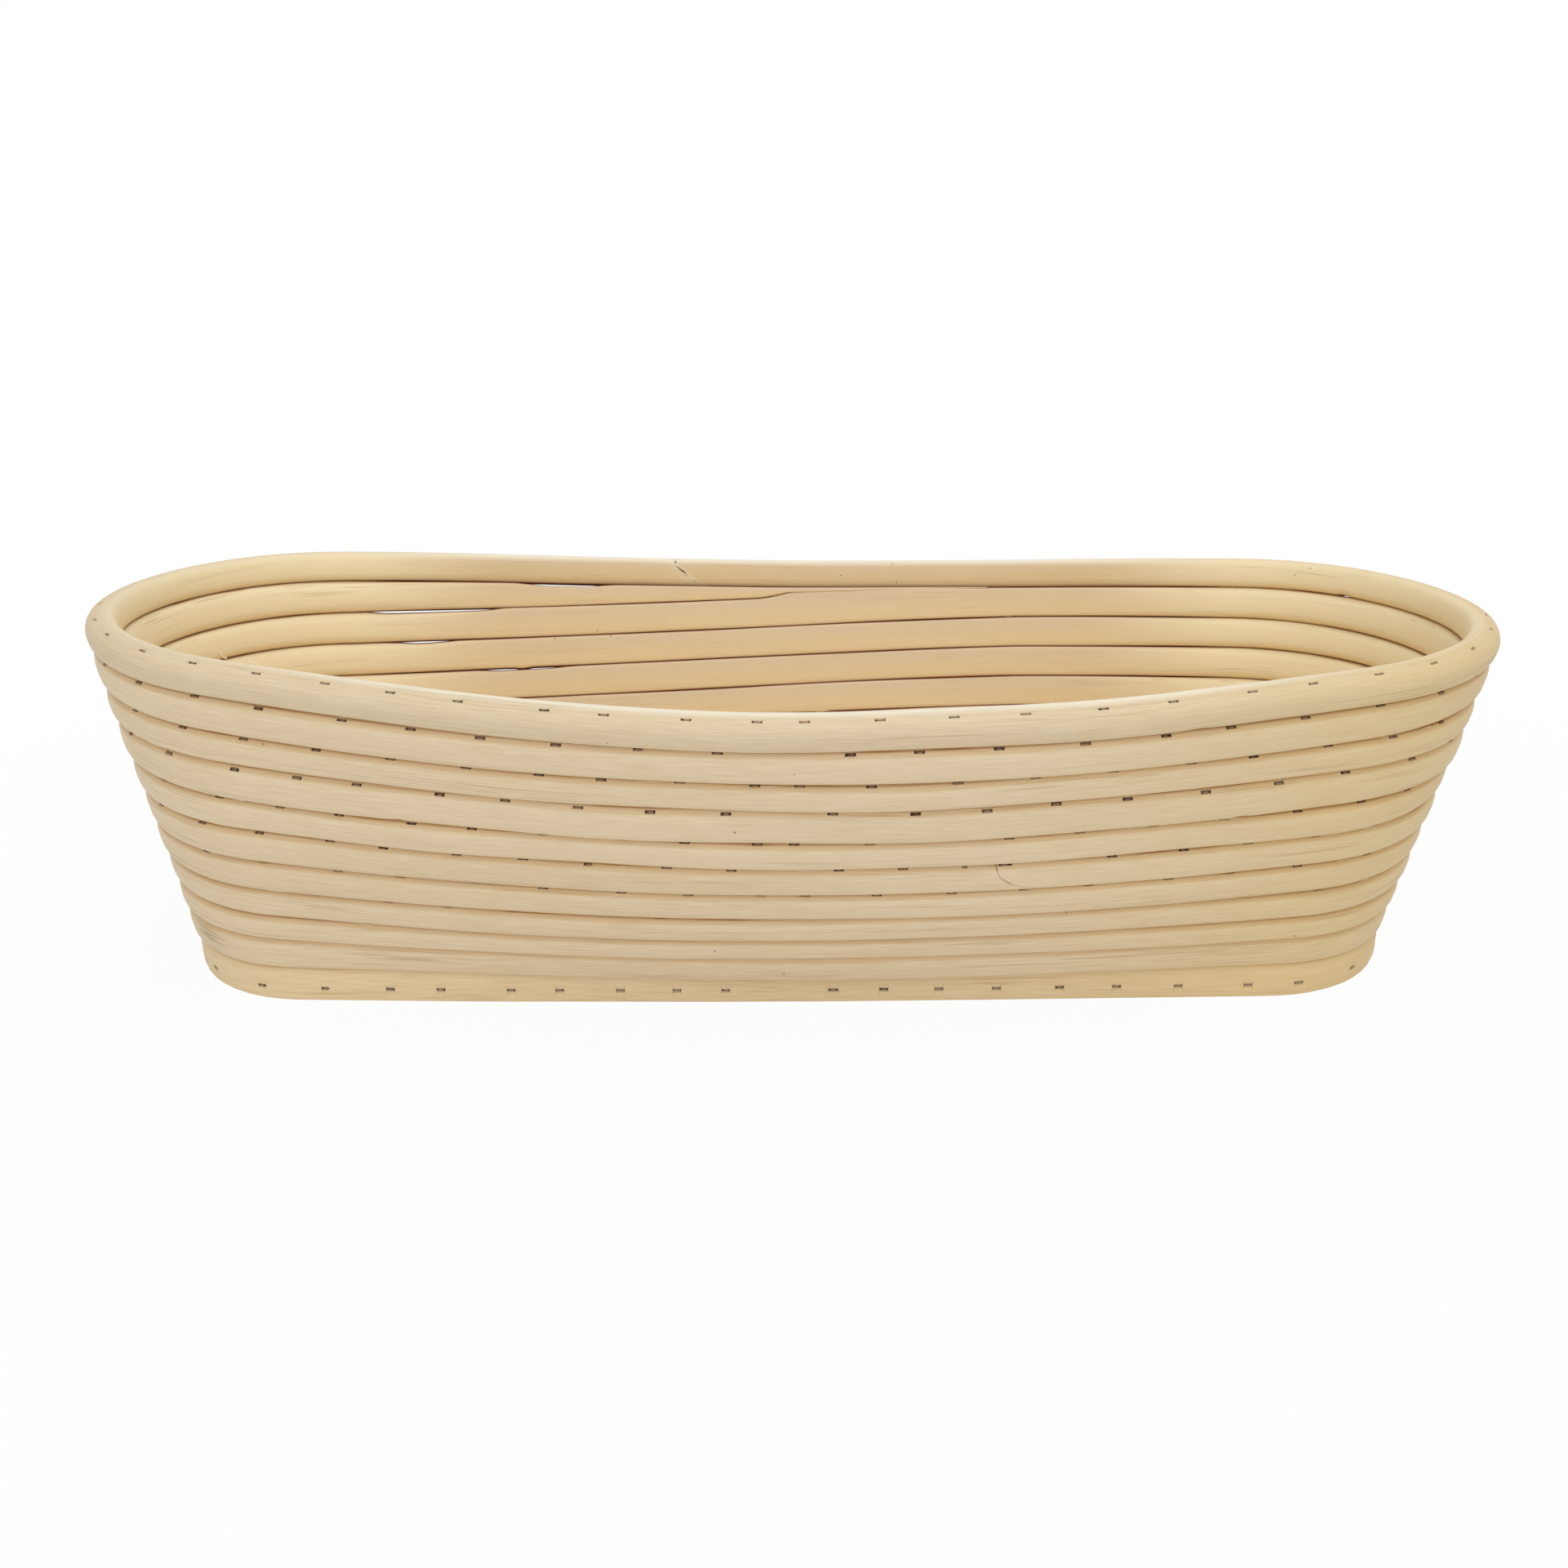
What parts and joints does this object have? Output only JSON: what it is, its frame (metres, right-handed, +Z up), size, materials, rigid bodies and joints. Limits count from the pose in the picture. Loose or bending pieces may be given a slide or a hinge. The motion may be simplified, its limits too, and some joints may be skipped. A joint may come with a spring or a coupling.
{
  "type": "proofing basket",
  "caption": "Long oval proofing basket wound from round rattan cane and stapled turn to turn, with a closed rim hoop and a foot hoop round a flat cane base.",
  "frame": {"origin": "on the table under the middle of the rim's outline", "axes": "+X along the basket to the right, +Y to the back, +Z up"},
  "size_m": [0.3653, 0.1632, 0.1025],
  "materials": {
    "cane": "bare peeled rattan, matt, with fine fibre streaks",
    "foot_cane": "bare peeled rattan, matt, a little darker",
    "staple_wire": "dull brown steel wire"
  },
  "bodies": {
    "root": {"base_core": "cane", "base_cane": "cane", "lower_wall_cane": "cane", "upper_wall_cane": "cane", "rim_hoop": "cane", "foot_hoop": "foot_cane", "base_staples": "staple_wire", "foot_staples": "staple_wire", "wall_staples_1": "staple_wire", "wall_staples_2": "staple_wire", "wall_staples_3": "staple_wire", "wall_staples_4": "staple_wire", "wall_staples_5": "staple_wire", "wall_staples_6": "staple_wire", "wall_staples_7": "staple_wire", "wall_staples_8": "staple_wire", "wall_staples_9": "staple_wire", "rim_staples": "staple_wire"}
  },
  "joints": []
}
